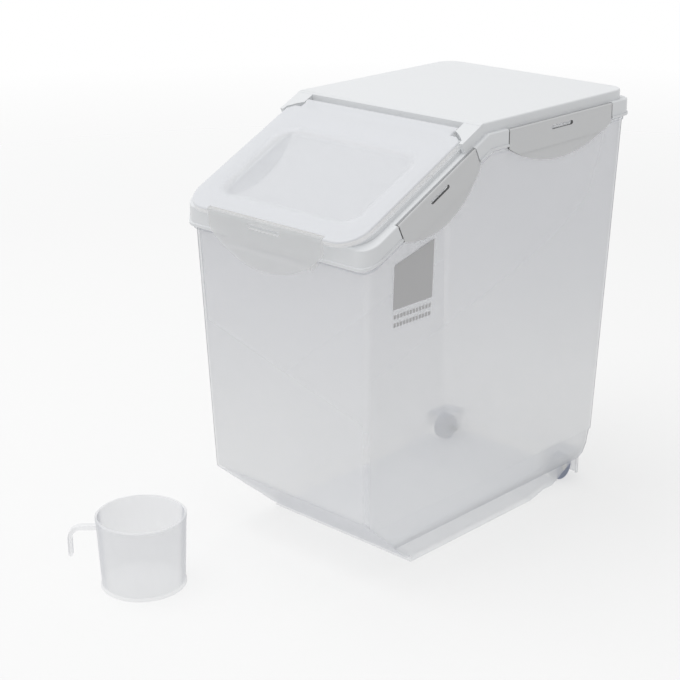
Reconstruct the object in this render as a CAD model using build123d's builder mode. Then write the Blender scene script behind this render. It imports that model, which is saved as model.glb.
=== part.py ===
from build123d import *

import os
from math import cos, radians, sin, tan

# Rice bin with flip lid. Millimetres, +Z up, -Y is the low front of the sloping roof.
# The origin is on the floor, in the middle of the lid's width and depth.

# Roof: the lid's outer surface seen from the side, flat at the rear and sloping to the front.
RIM_Z = 370.0
BEND_Y = -30.0
SLOPE = 26.0
SIN = sin(radians(SLOPE))
COS = cos(radians(SLOPE))

# Main lid. A drop is a depth below the roof, square to it.
LID_WIDTH = 216.0
LID_DEPTH = 345.0
LID_HALF = LID_WIDTH / 2
LID_FRONT = -LID_DEPTH / 2
LID_REAR = LID_DEPTH / 2
LID_CORNER = 14.0
LID_EDGE = 1.5
SHEET = 2.2
SKIRT_DROP = 14.5
BEAD_OUT = 1.0
BEAD_HIGH = 2.0

# Flip lid, placed on the slope: down from the bend and out from the slope.
FLIP_MARGIN = 9.0
FLIP_OVERHANG = 6.5
FLIP_HALF = LID_HALF - FLIP_MARGIN
FLIP_BOTTOM = (LID_FRONT - BEND_Y) / COS - FLIP_OVERHANG
FLIP_CORNER = 24.0
FLIP_EDGE = 2.0
FLIP_LOW = 4.0
FLIP_TOP = 9.5
FLIP_SHEET = 2.7
FLIP_WALL = 2.0
UNDERSIDE = FLIP_TOP - FLIP_SHEET
SHOULDER = 13.5
BARREL_HALF = FLIP_HALF - SHOULDER
BARREL_RADIUS = 4.3
HINGE_DOWN = -12.0
HINGE_OUT = FLIP_TOP - BARREL_RADIUS
HINGE_PIN_RADIUS = 1.5
HINGE_PIN_LENGTH = 20.0
HINGE_PIN_START = BARREL_HALF - HINGE_PIN_LENGTH / 2 + 0.5
PIN_END_GAP = 0.2
RUNNING_GAP = 0.06

# Dished recess in the flip lid's top, and the plug rib inside the mouth.
RECESS_HALF = FLIP_HALF - 16.0
RECESS_TOP = HINGE_DOWN - 33.0
RECESS_BOTTOM = FLIP_BOTTOM + 17.5
RECESS_CORNER = 24.0
RECESS_DEPTH = 3.2
RECESS_SIDE = 10.0
RECESS_SHEET = 1.8
RECESS_WALL = 6.0
RECESS_BLEND = 6.0
PLUG_GAP = 1.4
PLUG_WALL = 1.6
PLUG_LOW = -1.0

# Raised panel on the flat part, and the two ears that carry the flip lid.
PANEL_MARGIN = 4.1
PANEL_HALF = LID_HALF - PANEL_MARGIN
PANEL_FRONT = BEND_Y - 7.0
PANEL_REAR = LID_REAR - PANEL_MARGIN
PANEL_CORNER = LID_CORNER + 2.5
PANEL_RISE = 8.6
PANEL_EDGE = 1.6
PANEL_ROOT = 12.0
EAR_GAP = 0.7
EAR_INNER = BARREL_HALF + EAR_GAP
EAR_RISE = 9.4
EAR_TIP = HINGE_DOWN - 16.5

# Mouth in the sloping part, and the ledge round it.
MOUTH_HALF = FLIP_HALF - 16.0
MOUTH_TOP = HINGE_DOWN - 14.0
MOUTH_BOTTOM = FLIP_BOTTOM + 17.0
MOUTH_CORNER = 20.0
LEDGE_GAP = 0.5
LEDGE_RISE = FLIP_LOW - LEDGE_GAP
LEDGE_HALF = FLIP_HALF + 0.3
LEDGE_BOTTOM = FLIP_BOTTOM + 8.0
LEDGE_CORNER = FLIP_CORNER - 3.0

# Tub rim, inside the lid's skirt.
WALL = 2.2
LID_TO_RIM = 4.5
LID_TO_FLANGE = 2.7
RIM_TOP = 6.0
FLANGE_TOP = 16.5
FLANGE_BOTTOM = 19.0

# Tub, drafted: it narrows downwards from where its walls would meet the roof's height.
DRAFT = 2.15
LID_TO_WALL = 3.5
TUB_NARROWS = RIM_Z * tan(radians(DRAFT))
TUB_HALF = LID_HALF - LID_TO_WALL - TUB_NARROWS
TUB_FRONT = LID_FRONT + 1.0 + TUB_NARROWS
TUB_REAR = LID_REAR - LID_TO_WALL - TUB_NARROWS
TUB_CORNER_LOW = 4.0
TUB_CORNER_HIGH = 9.0

# Foot and floor. The foot widens into the wall in steps of (height, angle), and its front is cut away.
FOOT_SET_BACK = 64.0
FOOT_HALF = TUB_HALF - 7.1
FOOT_FRONT = TUB_FRONT + FOOT_SET_BACK
FOOT_REAR = TUB_REAR - 3.0
FOOT_CORNER = 4.0
FOOT_HIGH = 6.0
FLARE_STEPS = [(20.0, 32.0), (26.0, 16.0), (36.0, 8.0)]
FLARE_TOP = 52.0
UNDERCUT_Y = FOOT_FRONT - 5.3
UNDERCUT_ANGLE = 41.7
REAR_LIFT = 4.5
LIFT_REACH = 76.6
LIFT_START = FOOT_REAR - LIFT_REACH
LIFT_LONG = 19.0
FLOOR_SHEET = 2.8

# Wheels, each in a pocket open below and through an arch in the side.
WHEEL_RADIUS = 13.0
WHEEL_WIDTH = 10.0
WHEEL_EDGE = 1.6
WHEEL_X = FOOT_HALF - 12.0
WHEEL_Y = FOOT_REAR - 17.0
WHEEL_PIN_RADIUS = 2.0
WHEEL_SIDE_GAP = 4.3
POCKET_GAP = 1.5
POCKET_INNER = WHEEL_X - WHEEL_WIDTH / 2 - WHEEL_SIDE_GAP
POCKET_FRONT = WHEEL_Y - WHEEL_RADIUS - POCKET_GAP
POCKET_REAR = WHEEL_Y + WHEEL_RADIUS + POCKET_GAP
POCKET_TOP = 2 * WHEEL_RADIUS + 2.0
PIN_SEAT = 4.7
PIN_START = POCKET_INNER - PIN_SEAT
PIN_BOSS_RADIUS = WHEEL_PIN_RADIUS + 2.5
PIN_BOSS_END = 1.5
PIN_HEAD_RADIUS = 3.4
PIN_HEAD = 1.2
PIN_HEAD_GAP = 0.3
ARCH_FRONT = POCKET_FRONT - 12.0
ARCH_LOW = REAR_LIFT
ARCH_HIGH = 20.0
ARCH_CORNER = POCKET_REAR - 10.0
ARCH_REAR = POCKET_REAR - 2.5

# Latches: a barrel at the roof's edge, a band with a slot, and a thinner finger tab below.
LATCH_SHEET = 2.2
LATCH_END_GAP = 1.2
LATCH_AXIS_DOWN = 2.0
LATCH_SIDE = 17.0
LATCH_DEEP = 36.0
LATCH_BAND = 23.5
LATCH_TO_CORNER = 19.0
TAB_SHEET = 1.3
SLOT_HIGH = 3.6
SLOT_DOWN = 8.0
STUB_RADIUS = 1.0
STUB_LENGTH = 2.6
STUB_END_GAP = 0.4
SIDE_BARREL = 1.6
BAY_GAP = 0.4
HOOK_SHORTER = 14.0
HOOK_HIGH = 1.9
HOOK_ROOT = 2.0
HOOK_CLEARANCE = 0.3
SIDE_HOOK_DOWN = FLANGE_BOTTOM + HOOK_CLEARANCE
HOOK_IN = LID_TO_WALL + SIDE_HOOK_DOWN * tan(radians(DRAFT)) - HOOK_CLEARANCE

# The rear pair lies on the flat part and the slope pair on the slope.
REAR_LATCH_START = BEND_Y + 26.0
REAR_LATCH_END = LID_REAR - LID_CORNER - LATCH_TO_CORNER
REAR_LATCH_Y = (REAR_LATCH_START + REAR_LATCH_END) / 2
REAR_LATCH_HALF = (REAR_LATCH_END - REAR_LATCH_START) / 2
REAR_SLOT = 30.0
SLOPE_LATCH_START = LID_FRONT + LID_CORNER + LATCH_TO_CORNER
SLOPE_LATCH_END = BEND_Y - 18.4
SLOPE_LATCH_Y = (SLOPE_LATCH_START + SLOPE_LATCH_END) / 2
SLOPE_LATCH_HALF = (SLOPE_LATCH_END - SLOPE_LATCH_START) / 2 / COS
SLOPE_SLOT = 24.0

# The front latch hangs from the flip lid and catches the main lid's skirt.
FRONT_LATCH_HALF = FLIP_HALF - 33.5
FRONT_LATCH_SIDE = 15.0
FRONT_LATCH_DEEP = 42.4
FRONT_BAND = 27.0
FRONT_SLOT = 37.0
FRONT_SLOT_DOWN = 6.5
FRONT_BARREL = 2.1
FRONT_AXIS_DOWN = FLIP_BOTTOM + FRONT_BARREL
FRONT_AXIS_OUT = FLIP_TOP - 2.5
NOTCH_BOTTOM = FLIP_BOTTOM + 2 * FRONT_BARREL + 0.3
NOTCH_HALF = FRONT_LATCH_HALF + LATCH_END_GAP
STUB_BLOCK = 5.0

# Seals. The lid's latch bosses stop just short of the lid's seal.
SEAL_WIDE = 3.0
SEAL_INSET = LID_TO_RIM - 0.5
BOSS_IN = SEAL_INSET - 0.1
BOSS_OUT = 0.6
BOSS_TOP = 0.5
BOSS_BOTTOM = 5.5
BOSS_LONG = 4.0
FLIP_SEAL_WIDE = 3.5
FLIP_SEAL_SIDE = 10.0
FLIP_SEAL_END = 6.0
FLIP_SEAL_GAP = 0.1

# Label on the right wall, as seen from the side, with two rows of plain ticks below it.
LABEL_FRONT = LID_FRONT + 36.2
LABEL_LONG = 46.5
LABEL_UNDER_RIM = 125.5
LABEL_FRONT_TALL = 37.5
LABEL_REAR_TALL = 49.7
LABEL_REAR = LABEL_FRONT + LABEL_LONG
LABEL_BOTTOM = RIM_Z - LABEL_UNDER_RIM
LABEL_FRONT_TOP = LABEL_BOTTOM + LABEL_FRONT_TALL
LABEL_REAR_TOP = LABEL_BOTTOM + LABEL_REAR_TALL
LABEL_SHEET = 0.35
TICK_ROWS = [LABEL_BOTTOM - 6.5, LABEL_BOTTOM - 13.5]
TICK_COUNT = 12
TICK_WIDE = 2.4
TICK_HIGH = 3.4
TICK_PITCH = 3.8

# Measuring cup, standing in front of the bin.
CUP_X = -57.0
CUP_STAND_OFF = 102.5
CUP_Y = LID_FRONT - CUP_STAND_OFF
CUP_HEIGHT = 63.5
CUP_TOP_RADIUS = 38.0
CUP_FOOT_RADIUS = 36.0
CUP_STEP_HIGH = 1.6
CUP_STEP_IN = 0.7
CUP_LIP_OUT = 0.4
CUP_LIP_HIGH = 2.0
CUP_LIP_EDGE = 0.6
CUP_WALL = 1.7
CUP_FLOOR = 2.0
HANDLE_WIDE = 6.0
HANDLE_SHEET = 3.5
HANDLE_TOP = CUP_HEIGHT - 9.5
HANDLE_REACH = CUP_TOP_RADIUS + 23.8
HANDLE_BEND = 11.3
HANDLE_END = HANDLE_TOP - 26.0
HANDLE_ANGLE = 225.0

# Far enough to pass the whole bin in any direction.
REACH = LID_DEPTH
SLOPE_PLANE = Plane(origin=(0, BEND_Y, RIM_Z), x_dir=(1, 0, 0), z_dir=(0, -SIN, COS))
OUT_OF_SLOPE = Axis(SLOPE_PLANE.origin, SLOPE_PLANE.z_dir)


# ---- shapes shared by several pieces


def box(across, along, up):
    """A plain block from three pairs of ends."""
    with BuildPart() as block:
        with BuildSketch(Plane.XY.offset(min(up))):
            with Locations(((across[0] + across[1]) / 2, (along[0] + along[1]) / 2)):
                Rectangle(abs(across[1] - across[0]), abs(along[1] - along[0]))
        extrude(amount=abs(up[1] - up[0]))
    return block.part


def side_slab(points):
    """A closed side outline of (y, z) points, carried across the width."""
    with BuildPart() as slab:
        with BuildSketch(Plane.YZ):
            with BuildLine():
                Polyline(*points, close=True)
            make_face()
        extrude(amount=REACH, both=True)
    return slab.part


def roof_height(y):
    """The height of the sloping part of the roof."""
    return RIM_Z + (y - BEND_Y) * tan(radians(SLOPE))


def roof_line(drop):
    """The roof from front to rear, moved inwards square to itself."""
    bend_y = BEND_Y + drop * tan(radians(SLOPE / 2))
    bend_z = RIM_Z - drop
    return [(-REACH, bend_z - (bend_y + REACH) * tan(radians(SLOPE))), (bend_y, bend_z), (REACH, bend_z)]


def roof_band(top_drop, bottom_drop):
    """The layer between two depths below the roof."""
    return side_slab(roof_line(top_drop) + roof_line(bottom_drop)[::-1])


def under_roof(drop):
    """Everything more than drop below the roof."""
    return side_slab(roof_line(drop) + [(REACH, -1), (-REACH, -1)])


def prism(half, front, rear, corner, bottom, top, draft=0.0):
    """An upright rounded block; a negative draft widens it upwards."""
    with BuildPart() as block:
        with BuildSketch(Plane.XY.offset(bottom)):
            with Locations((0, (front + rear) / 2)):
                RectangleRounded(2 * half, rear - front, corner)
        extrude(amount=top - bottom, taper=draft)
    return block.part


def wall_block(out):
    """The tub's four drafted walls as a solid block, moved outwards; the corners open upwards."""
    levels = [(0, 0, TUB_CORNER_LOW), (RIM_Z, TUB_NARROWS, TUB_CORNER_HIGH)]
    with BuildPart() as block:
        for height, wider, corner in levels:
            front = TUB_FRONT - wider - out
            rear = TUB_REAR + wider + out
            with BuildSketch(Plane.XY.offset(height)):
                with Locations((0, (front + rear) / 2)):
                    RectangleRounded(2 * (TUB_HALF + wider + out), rear - front, corner + out)
        loft(ruled=True)
    return block.part


def lid_layer(inset, top_drop, bottom_drop):
    """The lid's outline, moved inwards, between two depths below the roof."""
    half = LID_HALF - inset
    with BuildPart() as layer:
        add(prism(half, LID_FRONT + inset, LID_REAR - inset, LID_CORNER - inset, 0, RIM_Z + 1))
        add(roof_band(top_drop, bottom_drop), mode=Mode.INTERSECT)
    return layer.part


def slope_block(half, bottom, top, corner, low, high):
    """A rounded rectangle on the slope, between two heights above it."""
    with BuildPart() as block:
        with BuildSketch(SLOPE_PLANE.offset(low)):
            with Locations((0, (bottom + top) / 2)):
                RectangleRounded(2 * half, top - bottom, corner)
        extrude(amount=high - low)
    return block.part


def slope_ring(half, bottom, top, corner, wall, low, high):
    """A rounded ring on the slope."""
    with BuildPart() as ring:
        add(slope_block(half, bottom, top, corner, low, high))
        hole = slope_block(half - wall, bottom + wall, top - wall, corner - wall, low - 1, high + 1)
        add(hole, mode=Mode.SUBTRACT)
    return ring.part


def slope_bar(left, right, bottom, top, low, high):
    """A plain bar across the slope."""
    with BuildPart() as bar:
        with BuildSketch(SLOPE_PLANE.offset(low)):
            with Locations(((left + right) / 2, (bottom + top) / 2)):
                Rectangle(right - left, top - bottom)
        extrude(amount=high - low)
    return bar.part


def rod(plane, start, length, radius):
    """A round rod along the plane's normal."""
    with BuildPart() as bar:
        with BuildSketch(plane.offset(start)):
            Circle(radius)
        extrude(amount=length)
    return bar.part


def slope_cross_plane(along, out):
    """A plane square to the width, through a point given on the slope, for rods along X."""
    point = SLOPE_PLANE.from_local_coords((0, along, out))
    return Plane(origin=(0, point.Y, point.Z), x_dir=(0, 1, 0), z_dir=(1, 0, 0))


# ---- latches


def latch_face(y, side, tilt):
    """The lid's side surface at a latch: local x along the edge, y up, z outwards."""
    along = (0, cos(radians(tilt)) * side, sin(radians(tilt)) * side)
    height = RIM_Z if tilt == 0 else roof_height(y)
    return Plane(origin=(LID_HALF * side, y, height), x_dir=along, z_dir=(side, 0, 0))


def latch_cross(face, along, barrel):
    """A plane square to the latch's axis: local x outwards, y downwards."""
    centre = face.from_local_coords((along, -LATCH_AXIS_DOWN, -barrel))
    return Plane(origin=centre, x_dir=face.z_dir, z_dir=face.x_dir)


def latch_panel(face, half, side, deep, low, high, band):
    """The latch's smile-shaped outline, down to the depth called band, between two heights."""
    with BuildPart() as panel:
        with BuildSketch(face.offset(low)):
            with BuildLine():
                Line((-half, -side), (-half, -LATCH_AXIS_DOWN))
                Line((-half, -LATCH_AXIS_DOWN), (half, -LATCH_AXIS_DOWN))
                Line((half, -LATCH_AXIS_DOWN), (half, -side))
                ThreePointArc((half, -side), (0, -deep), (-half, -side))
            make_face()
            with Locations((0, -band / 2)):
                Rectangle(2 * half, band, mode=Mode.INTERSECT)
        extrude(amount=high - low)
    return panel.part


def latch_hook(face, half, profile):
    """The catch on the inside: a (out, down) profile run along the latch."""
    start = Plane(origin=face.from_local_coords((-half, 0, 0)), x_dir=face.z_dir, z_dir=face.x_dir)
    with BuildPart() as hook:
        with BuildSketch(start):
            with BuildLine():
                Polyline(*profile, close=True)
            make_face()
        extrude(amount=2 * half)
    return hook.part


def latch(face, half, side, deep, band, slot, slot_down, barrel, hook):
    """One whole latch on its face plane."""
    pivot = latch_cross(face, -half, barrel)
    with BuildPart() as piece:
        add(latch_panel(face, half, side, deep, -LATCH_SHEET, 0, band))
        add(latch_panel(face, half, side, deep, -LATCH_SHEET, TAB_SHEET - LATCH_SHEET, deep + 1))
        add(rod(pivot, 0, 2 * half, barrel))
        add(latch_hook(face, half - HOOK_SHORTER, hook))
        with BuildSketch(face.offset(1)):
            with Locations((0, -slot_down)):
                SlotOverall(slot, SLOT_HIGH)
        extrude(amount=-LATCH_SHEET - 2, mode=Mode.SUBTRACT)
        add(rod(pivot, -STUB_LENGTH, 2 * (half + STUB_LENGTH), STUB_RADIUS))
    return piece.part


def side_latch(face, half, slot):
    """A latch that hooks under the tub's flange."""
    root = -LATCH_SHEET + 0.2
    hook = [
        (root, SIDE_HOOK_DOWN),
        (-HOOK_IN, SIDE_HOOK_DOWN),
        (-HOOK_IN, SIDE_HOOK_DOWN + HOOK_HIGH),
        (root, SIDE_HOOK_DOWN + HOOK_HIGH + HOOK_ROOT),
    ]
    return latch(face, half, LATCH_SIDE, LATCH_DEEP, LATCH_BAND, slot, SLOT_DOWN, SIDE_BARREL, hook)


def face_block(face, along, down, out):
    """A block on a latch's face plane, from three (low, high) pairs."""
    with BuildPart() as block:
        with BuildSketch(face.offset(out[0])):
            with Locations(((along[0] + along[1]) / 2, -(down[0] + down[1]) / 2)):
                Rectangle(along[1] - along[0], down[1] - down[0])
        extrude(amount=out[1] - out[0])
    return block.part


def latch_bosses(face, half):
    """Blocks in the lid that hold the stubs at a side latch's two ends."""
    near = half + LATCH_END_GAP
    far = near + BOSS_LONG
    down = (BOSS_TOP, BOSS_BOTTOM)
    out = (-BOSS_IN, -BOSS_OUT)
    return [face_block(face, (-far, -near), down, out), face_block(face, (near, far), down, out)]


def latch_bay(face, half):
    """The room that a side latch takes out of the lid's edge."""
    end = half + LATCH_END_GAP
    return face_block(face, (-end, end), (-1.0, LATCH_DEEP), (-2 * SIDE_BARREL - BAY_GAP, 2 * BEAD_OUT))


def latch_bore(face, half, barrel):
    """The bore for a latch's two stubs."""
    past = STUB_LENGTH + STUB_END_GAP
    return rod(latch_cross(face, -half, barrel), -past, 2 * (half + past), STUB_RADIUS + RUNNING_GAP)


SIDE_LATCHES = {
    "right_rear_latch": (latch_face(REAR_LATCH_Y, 1, 0), REAR_LATCH_HALF, REAR_SLOT),
    "right_slope_latch": (latch_face(SLOPE_LATCH_Y, 1, SLOPE), SLOPE_LATCH_HALF, SLOPE_SLOT),
    "left_rear_latch": (latch_face(REAR_LATCH_Y, -1, 0), REAR_LATCH_HALF, REAR_SLOT),
    "left_slope_latch": (latch_face(SLOPE_LATCH_Y, -1, SLOPE), SLOPE_LATCH_HALF, SLOPE_SLOT),
}

# The front latch's face, and where the lid's skirt ends below and behind it.
FRONT_AXIS = SLOPE_PLANE.from_local_coords((0, FRONT_AXIS_DOWN, FRONT_AXIS_OUT))
FRONT_FACE_Y = FRONT_AXIS.Y - FRONT_BARREL
FRONT_FACE_Z = FRONT_AXIS.Z + LATCH_AXIS_DOWN
FRONT_FACE = Plane(origin=(0, FRONT_FACE_Y, FRONT_FACE_Z), x_dir=(1, 0, 0), z_dir=(0, -1, 0))
SKIRT_Y = LID_FRONT - BEAD_OUT
SKIRT_DOWN = FRONT_FACE_Z - (roof_height(SKIRT_Y) - SKIRT_DROP / COS)
SKIRT_BEHIND = SKIRT_Y - FRONT_FACE_Y
FRONT_HOOK_IN = 2.2
FRONT_HOOK_SLANT = 3.3


def front_hook():
    """The front latch's catch, from just under the skirt's edge."""
    root = -LATCH_SHEET + 0.2
    top = SKIRT_DOWN + HOOK_CLEARANCE
    return [
        (root, top),
        (-SKIRT_BEHIND, top),
        (-SKIRT_BEHIND - FRONT_HOOK_IN, top + FRONT_HOOK_SLANT),
        (-SKIRT_BEHIND, top + FRONT_HOOK_SLANT + HOOK_HIGH),
        (root, top + FRONT_HOOK_SLANT + HOOK_HIGH + HOOK_ROOT),
    ]


# ---- tub


def foot_prism(out, bottom, top, draft):
    """A slice of the foot, moved outwards, its front left long for the undercut."""
    return prism(FOOT_HALF + out, LID_FRONT, FOOT_REAR + out, FOOT_CORNER + out, bottom, top, draft)


def flared_foot(inset):
    """The foot and the steps by which it widens into the wall."""
    tops = [height for height, angle in FLARE_STEPS[1:]] + [FLARE_TOP]
    out = -inset
    with BuildPart() as foot:
        add(foot_prism(out, 0, FLARE_STEPS[0][0], 0))
        for (bottom, angle), top in zip(FLARE_STEPS, tops):
            add(foot_prism(out, bottom, top, -angle))
            out += (top - bottom) * tan(radians(angle))
    return foot.part


def undercut(inset):
    """The space under the sloping front of the base."""
    start = FOOT_HIGH + inset / cos(radians(UNDERCUT_ANGLE))
    rise = (UNDERCUT_Y + REACH) * tan(radians(UNDERCUT_ANGLE))
    return side_slab([(-REACH, start + rise), (UNDERCUT_Y, start), (UNDERCUT_Y, -1), (-REACH, -1)])


def below_floor(rise):
    """Everything below the bin's underside, flat in front and lifted at the rear, raised by rise."""
    lift_end = LIFT_START + LIFT_LONG
    floor = [(-REACH, rise), (LIFT_START, rise), (lift_end, REAR_LIFT + rise), (REACH, REAR_LIFT + rise)]
    return side_slab(floor + [(REACH, -1), (-REACH, -1)])


def tub_envelope(inset):
    """The tub's outline from every side, moved inwards."""
    front = FOOT_FRONT + inset
    step = FOOT_HIGH + inset
    with BuildPart() as envelope:
        add(flared_foot(inset))
        add(side_slab([(-REACH, FLARE_TOP), (REACH, FLARE_TOP), (REACH, RIM_Z), (-REACH, RIM_Z)]))
        add(undercut(inset), mode=Mode.SUBTRACT)
        add(side_slab([(-REACH, -1), (front, -1), (front, step), (-REACH, step)]), mode=Mode.SUBTRACT)
        add(wall_block(-inset), mode=Mode.INTERSECT)
    return envelope.part


def tub_outside():
    """The tub as a solid block, up to the flange, with the lifted rear edge."""
    with BuildPart() as block:
        add(tub_envelope(0))
        add(below_floor(0), mode=Mode.SUBTRACT)
        add(under_roof((FLANGE_TOP + FLANGE_BOTTOM) / 2), mode=Mode.INTERSECT)
    return block.part


def tub_cavity():
    """The room for the rice, from the floor to the open top."""
    with BuildPart() as room:
        add(tub_envelope(WALL))
        add(below_floor(FLOOR_SHEET), mode=Mode.SUBTRACT)
    return room.part


def wheel_rod(side, start, length, radius):
    """A round rod on a wheel's axis, start measured outwards from the middle."""
    axis = Plane(origin=(0, WHEEL_Y, WHEEL_RADIUS), x_dir=(0, 1, 0), z_dir=(side, 0, 0))
    return rod(axis, start, length, radius)


def wheel_housing(side):
    """The walls round a wheel's pocket, and the boss that seats its pin."""
    across = (side * (POCKET_INNER - WALL), side * (FOOT_HALF - WALL / 2))
    along = (POCKET_FRONT - WALL, FOOT_REAR - WALL / 2)
    start = PIN_START - PIN_BOSS_END
    with BuildPart() as housing:
        add(box(across, along, (REAR_LIFT + FLOOR_SHEET / 2, POCKET_TOP + WALL)))
        add(wheel_rod(side, start, POCKET_INNER - WALL / 2 - start, PIN_BOSS_RADIUS))
    return housing.part


def wheel_pocket(side):
    """The room round a wheel, open below."""
    across = (side * POCKET_INNER, side * (FOOT_HALF - WALL))
    return box(across, (POCKET_FRONT, POCKET_REAR), (-1, POCKET_TOP))


def arch_cut(side):
    """The opening in the side wall in front of a wheel."""
    points = [
        (ARCH_FRONT, -1),
        (ARCH_FRONT, ARCH_LOW),
        (ARCH_CORNER, ARCH_HIGH),
        (ARCH_REAR, ARCH_HIGH),
        (ARCH_REAR, -1),
    ]
    with BuildPart() as cut:
        with BuildSketch(Plane.YZ.offset(side * (FOOT_HALF - WALL - 1))):
            with BuildLine():
                Polyline(*points, close=True)
            make_face()
        extrude(amount=side * (LID_HALF - FOOT_HALF))
    return cut.part


with BuildPart() as bin_body:
    add(tub_outside())
    add(lid_layer(LID_TO_FLANGE, FLANGE_TOP, FLANGE_BOTTOM))
    add(lid_layer(LID_TO_RIM, RIM_TOP, FLANGE_TOP))
    add(tub_cavity(), mode=Mode.SUBTRACT)
    add(lid_layer(LID_TO_RIM + WALL, 0, (FLANGE_TOP + FLANGE_BOTTOM) / 2), mode=Mode.SUBTRACT)
    for side in (1, -1):
        add(wheel_housing(side))
        add(wheel_pocket(side), mode=Mode.SUBTRACT)
        add(arch_cut(side), mode=Mode.SUBTRACT)
        add(wheel_rod(side, PIN_START, PIN_SEAT, WHEEL_PIN_RADIUS), mode=Mode.SUBTRACT)
bin_body.part.label = "bin_body"


# ---- main lid


def above_slope(height):
    """Everything above a height over the slope, near the bend."""
    return slope_block(LID_WIDTH, 2 * EAR_TIP, -2 * EAR_TIP, 1, height, height + LID_HALF)


def panel_block(half, front, rear, corner, top):
    """The raised panel's outline, square in front and rounded at the rear."""
    with BuildPart() as block:
        with BuildSketch(Plane.XY.offset(RIM_Z - PANEL_ROOT)):
            with Locations((0, (front + rear) / 2)):
                Rectangle(2 * half, rear - front)
            fillet(vertices().group_by(Axis.Y)[-1], corner)
        extrude(amount=PANEL_ROOT + top)
    return block.part


def raised_panel():
    """The flat raised panel, solid, its front edge eased to the ears' top."""
    with BuildPart() as panel:
        add(panel_block(PANEL_HALF, PANEL_FRONT, PANEL_REAR, PANEL_CORNER, PANEL_RISE))
        fillet(faces().sort_by(Axis.Z)[-1].edges().sort_by(Axis.Y)[1:], PANEL_EDGE)
        add(under_roof(SHEET / 2), mode=Mode.SUBTRACT)
        add(above_slope(EAR_RISE + 0.2), mode=Mode.SUBTRACT)
    return panel.part


def panel_hollow():
    """The hollow under the raised panel."""
    front = PANEL_FRONT + SHEET
    rear = PANEL_REAR - SHEET
    with BuildPart() as hollow:
        add(panel_block(PANEL_HALF - SHEET, front, rear, PANEL_CORNER - SHEET, PANEL_RISE - SHEET))
        add(above_slope(EAR_RISE - SHEET), mode=Mode.SUBTRACT)
    return hollow.part


def ear(side):
    """One of the two ears, running down the slope beside the flip lid's hinge."""
    points = [
        (EAR_INNER, -EAR_TIP / 5),
        (PANEL_HALF, -EAR_TIP / 5),
        (PANEL_HALF, EAR_TIP),
        (PANEL_HALF - 3.6, EAR_TIP),
        (PANEL_HALF - 4.1, EAR_TIP + 4.5),
        (EAR_INNER + 6.3, EAR_TIP + 10.5),
        (EAR_INNER, EAR_TIP + 14.0),
    ]
    cut_y = PANEL_FRONT + 3.0
    behind = side_slab([(cut_y, RIM_Z / 2), (REACH, RIM_Z / 2), (REACH, 2 * RIM_Z), (cut_y, 2 * RIM_Z)])
    with BuildPart() as piece:
        with BuildSketch(SLOPE_PLANE.offset(-SHEET / 2)):
            with BuildLine():
                Polyline(*[(side * x, y) for x, y in points], close=True)
            make_face()
        extrude(amount=EAR_RISE + SHEET / 2)
        add(behind, mode=Mode.SUBTRACT)
    return piece.part


def ledge():
    """The raised frame round the mouth that the flip lid closes on."""
    side_line = [
        (BARREL_HALF - 2, MOUTH_TOP + 7.5),
        (EAR_INNER + 6.3, EAR_TIP + 10.5),
        (LEDGE_HALF, EAR_TIP + 5.0),
        (LEDGE_HALF, LEDGE_BOTTOM),
    ]
    with BuildPart() as frame:
        with BuildSketch(SLOPE_PLANE.offset(-SHEET / 2)):
            with BuildLine():
                Polyline(*side_line, *[(-x, y) for x, y in side_line[::-1]], close=True)
            make_face()
            fillet(vertices().group_by(Axis.Y)[0], LEDGE_CORNER)
        extrude(amount=LEDGE_RISE + SHEET / 2)
    return frame.part


HINGE_AXIS = slope_cross_plane(HINGE_DOWN, HINGE_OUT)


def lid_outline():
    """The main lid as a solid layer with a rounded upper edge."""
    with BuildPart() as layer:
        add(lid_layer(0, 0, SKIRT_DROP))
        tops = faces().filter_by(GeomType.PLANE).filter_by(lambda face: face.normal_at().Z > 0.5)
        bend = tops[0].edges().filter_by(Axis.X).sort_by(Axis.Z)[-1]
        fillet([edge for face in tops for edge in face.edges() if edge.center() != bend.center()], LID_EDGE)
    return layer.part


with BuildPart() as main_lid:
    add(lid_outline())
    add(lid_layer(-BEAD_OUT, SKIRT_DROP - BEAD_HIGH, SKIRT_DROP))
    add(lid_layer(SHEET, SHEET, SKIRT_DROP + 5), mode=Mode.SUBTRACT)
    add(raised_panel())
    add(panel_hollow(), mode=Mode.SUBTRACT)
    add(ledge())
    mouth = slope_block(MOUTH_HALF, MOUTH_BOTTOM, MOUTH_TOP, MOUTH_CORNER, -2 * SHEET, LEDGE_RISE + 1)
    add(mouth, mode=Mode.SUBTRACT)
    for side in (1, -1):
        add(ear(side))
        pin_seat = rod(HINGE_AXIS, side * HINGE_PIN_START, side * HINGE_PIN_LENGTH, HINGE_PIN_RADIUS)
        add(pin_seat, mode=Mode.SUBTRACT)
    for face, half, slot in SIDE_LATCHES.values():
        add(latch_bosses(face, half))
        add(latch_bay(face, half), mode=Mode.SUBTRACT)
        add(latch_bore(face, half, SIDE_BARREL), mode=Mode.SUBTRACT)
main_lid.part.label = "main_lid"


# ---- flip lid


def flip_slab(inset, top, low, high):
    """The flip lid's outline between two heights, narrower at the top to pass the ears."""
    half = FLIP_HALF - inset
    neck = BARREL_HALF - inset
    side_line = [
        (neck, top),
        (neck, EAR_TIP + 8.7 - inset),
        (half - SHOULDER / 2, EAR_TIP + 8.2 - inset),
        (half, EAR_TIP + 2.7 - inset),
        (half, FLIP_BOTTOM + inset),
    ]
    with BuildPart() as slab:
        with BuildSketch(SLOPE_PLANE.offset(low)):
            with BuildLine():
                Polyline(*side_line, *[(-x, y) for x, y in side_line[::-1]], close=True)
            make_face()
            fillet(vertices().group_by(Axis.Y)[0], FLIP_CORNER - inset)
        extrude(amount=high - low)
    return slab.part


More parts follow.
